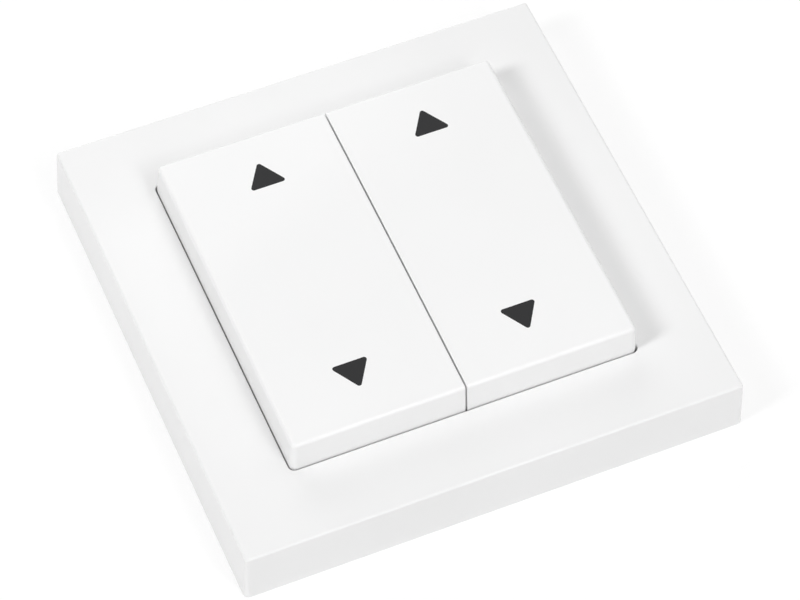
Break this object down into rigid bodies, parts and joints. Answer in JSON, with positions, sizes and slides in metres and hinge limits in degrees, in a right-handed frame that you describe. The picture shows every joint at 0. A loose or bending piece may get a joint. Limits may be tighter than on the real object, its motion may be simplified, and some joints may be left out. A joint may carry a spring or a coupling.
{
  "type": "wall switch",
  "caption": "Flat square surface-mounted radio wall switch with twin tall tilting rockers marked with up and down arrows, for blinds.",
  "frame": {"origin": "middle of the back face that lies against the wall", "axes": "+Z out of the wall, towards the hand; +Y up the wall, the way the up arrows point; +X to the right"},
  "size_m": [0.08, 0.08, 0.015],
  "materials": {
    "white_plastic": "gloss",
    "housing_plastic": "matt",
    "arrow_plastic": "satin",
    "silicone": "matt",
    "board": "satin",
    "chip_black": "matt",
    "ceramic": "matt",
    "clear_plastic": "clear",
    "led_lens": "gloss",
    "nickel": "satin",
    "zinc_steel": "bright"
  },
  "bodies": {
    "switch": {"wall_plate": "housing_plastic", "cover_frame": "white_plastic", "module_base": "housing_plastic", "module_cover": "housing_plastic", "module_screws": "zinc_steel", "circuit_board": "board", "coin_cell": "nickel", "battery_clip_plus": "nickel", "battery_contact_minus": "nickel", "radio_chip": "chip_black", "crystal": "nickel", "chip_antenna": "ceramic", "status_led": "led_lens", "led_window": "clear_plastic", "capacitors": "ceramic", "resistors": "chip_black", "pairing_switch": "chip_black", "contact_mat_left": "silicone", "contact_mat_right": "silicone"},
    "rocker_left": {"rocker_left": "white_plastic", "arrows_left": "arrow_plastic"},
    "rocker_right": {"rocker_right": "white_plastic", "arrows_right": "arrow_plastic"},
    "pairing_button": {"pairing_button": "chip_black"}
  },
  "joints": [
    {"name": "rocker_left_tilt", "type": "hinge", "parent": "switch", "child": "rocker_left", "pos_m": [0, 0, 0.0108], "axis": [1, 0, 0], "range_deg": [-2.5, 2.5], "stiffness_Nm_per_rad": 1, "deforming": ["contact_mat_left"]},
    {"name": "rocker_right_tilt", "type": "hinge", "parent": "switch", "child": "rocker_right", "pos_m": [0, 0, 0.0108], "axis": [1, 0, 0], "range_deg": [-2.5, 2.5], "stiffness_Nm_per_rad": 1, "deforming": ["contact_mat_right"]},
    {"name": "pairing_button_press", "type": "slide", "parent": "switch", "child": "pairing_button", "axis": [0, 0, -1], "range_m": [0, 0.0003], "stiffness_N_per_m": 800}
  ]
}
